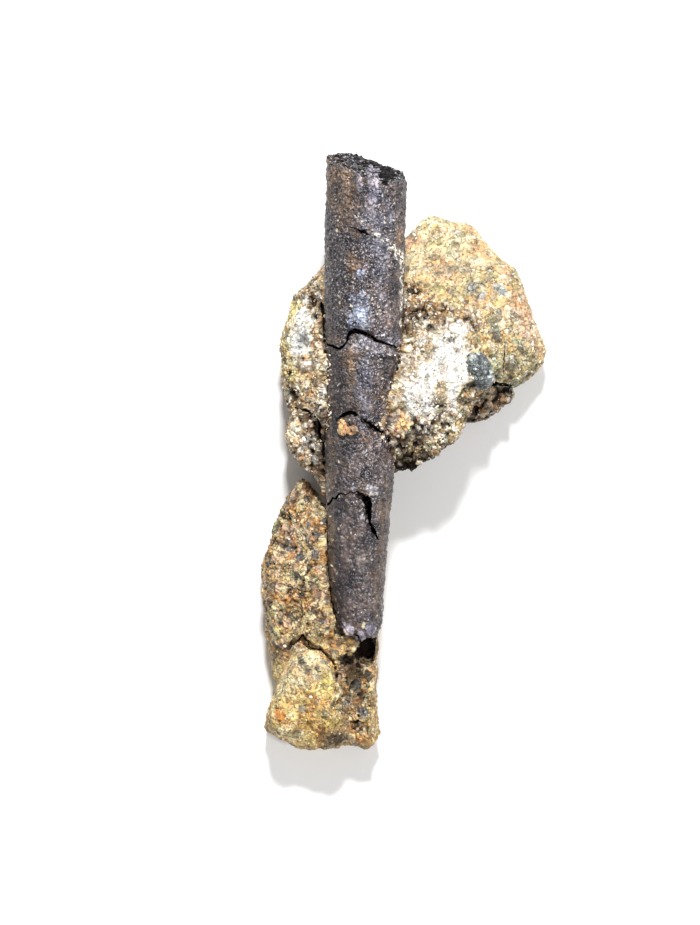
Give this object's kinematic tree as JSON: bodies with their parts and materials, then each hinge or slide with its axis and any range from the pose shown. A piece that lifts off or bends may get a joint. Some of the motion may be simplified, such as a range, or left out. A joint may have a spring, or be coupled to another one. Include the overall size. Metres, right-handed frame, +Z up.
{
  "type": "fossil dinosaur tooth in matrix",
  "caption": "Peg-shaped fossil tooth, cracked across and broken at the root, bedded in coarse sandstone matrix and lying along its length.",
  "frame": {"origin": "middle of the footprint, on the plane that the matrix rests on", "axes": "+Y along the tooth from its worn tip to its broken root end, +Z up from the resting plane, +X to the side that the larger lobe of matrix reaches"},
  "size_m": [0.0288, 0.06, 0.0162],
  "materials": {
    "fossil_enamel": "semi-gloss, finely pitted",
    "pale_sandstone": "matte, coarse grained",
    "ochre_sandstone": "matte, coarse grained",
    "orange_grain": "matte"
  },
  "bodies": {
    "root": {"tooth": "fossil_enamel", "upper_matrix": "pale_sandstone", "lower_matrix": "ochre_sandstone", "clinging_crumb": "orange_grain"}
  },
  "joints": []
}
